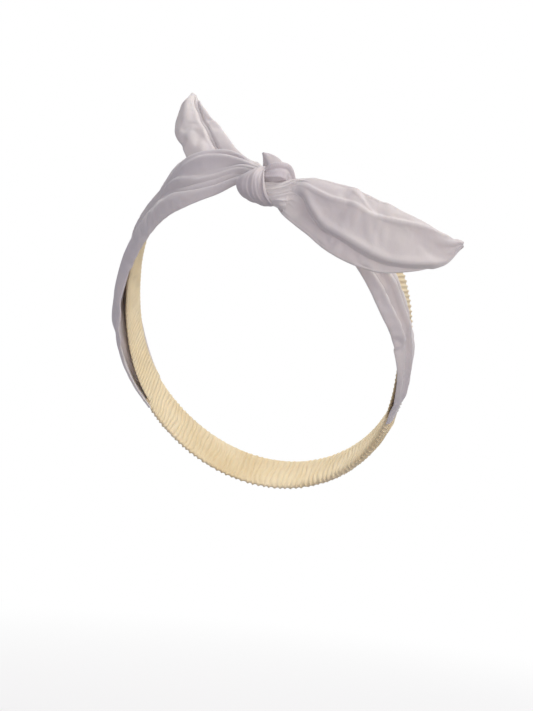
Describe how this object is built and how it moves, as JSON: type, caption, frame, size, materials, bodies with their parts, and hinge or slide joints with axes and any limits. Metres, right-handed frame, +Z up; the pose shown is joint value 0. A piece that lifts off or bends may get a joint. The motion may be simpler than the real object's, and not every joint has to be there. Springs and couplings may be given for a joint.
{
  "type": "knotted headband",
  "caption": "Knotted fabric headband: two folded cloth straps in a front half knot with two leaf tails, closed at the nape by a gathered casing over an elastic strip.",
  "frame": {"origin": "centre of the head opening, where the middle of the head sits", "axes": "worn position: -Y is the front of the head, +X is the wearer's left, +Z is up; the loop stands 43 degrees up at the front"},
  "size_m": [0.1758, 0.1638, 0.1855],
  "materials": {
    "strap_cloth": "soft smooth off-white weave, slight sheen",
    "knot_cloth": "soft smooth off-white weave in tight pleats",
    "tail_cloth": "soft smooth off-white weave, warm where light comes through",
    "casing_cloth": "cream cloth gathered into fine ribs",
    "elastic": "white braided elastic",
    "thread": "cream sewing thread"
  },
  "bodies": {
    "headband": {"right_strap": "strap_cloth", "left_strap": "strap_cloth", "knot_wrap": "knot_cloth", "knot_core": "knot_cloth", "knot_top_fold": "knot_cloth", "knot_peak": "knot_cloth", "right_casing_side": "casing_cloth", "left_casing_side": "casing_cloth", "right_elastic_side": "elastic", "left_elastic_side": "elastic", "right_seam_thread": "thread", "left_seam_thread": "thread"},
    "elastic_back": {"elastic_casing": "casing_cloth", "elastic_strip": "elastic"},
    "side_neck": {"side_tail_neck": "tail_cloth"},
    "side_tail": {"side_tail": "tail_cloth"},
    "upright_neck": {"upright_tail_neck": "tail_cloth"},
    "upright_tail": {"upright_tail": "tail_cloth"}
  },
  "joints": [
    {"name": "elastic_stretch", "type": "slide", "parent": "headband", "child": "elastic_back", "axis": [0, 0.7314, -0.682], "range_m": [0, 0.024], "stiffness_N_per_m": 120, "deforming": ["right_casing_side", "left_casing_side", "right_elastic_side", "left_elastic_side"]},
    {"name": "side_tail_swing", "type": "hinge", "parent": "headband", "child": "side_neck", "pos_m": [0.0275, -0.09, 0.04], "axis": [0, 0, 1], "range_deg": [-30, 8]},
    {"name": "side_tail_lift", "type": "hinge", "parent": "side_neck", "child": "side_tail", "pos_m": [0.0343, -0.0901, 0.0341], "axis": [0, -1, 0], "range_deg": [-25, 30]},
    {"name": "upright_tail_lean", "type": "hinge", "parent": "headband", "child": "upright_neck", "pos_m": [0.004, -0.074, 0.061], "axis": [1, 0, 0], "range_deg": [-25, 4]},
    {"name": "upright_tail_tilt", "type": "hinge", "parent": "upright_neck", "child": "upright_tail", "pos_m": [-0.0045, -0.072, 0.0632], "axis": [0, 1, 0], "range_deg": [0, 20]}
  ]
}
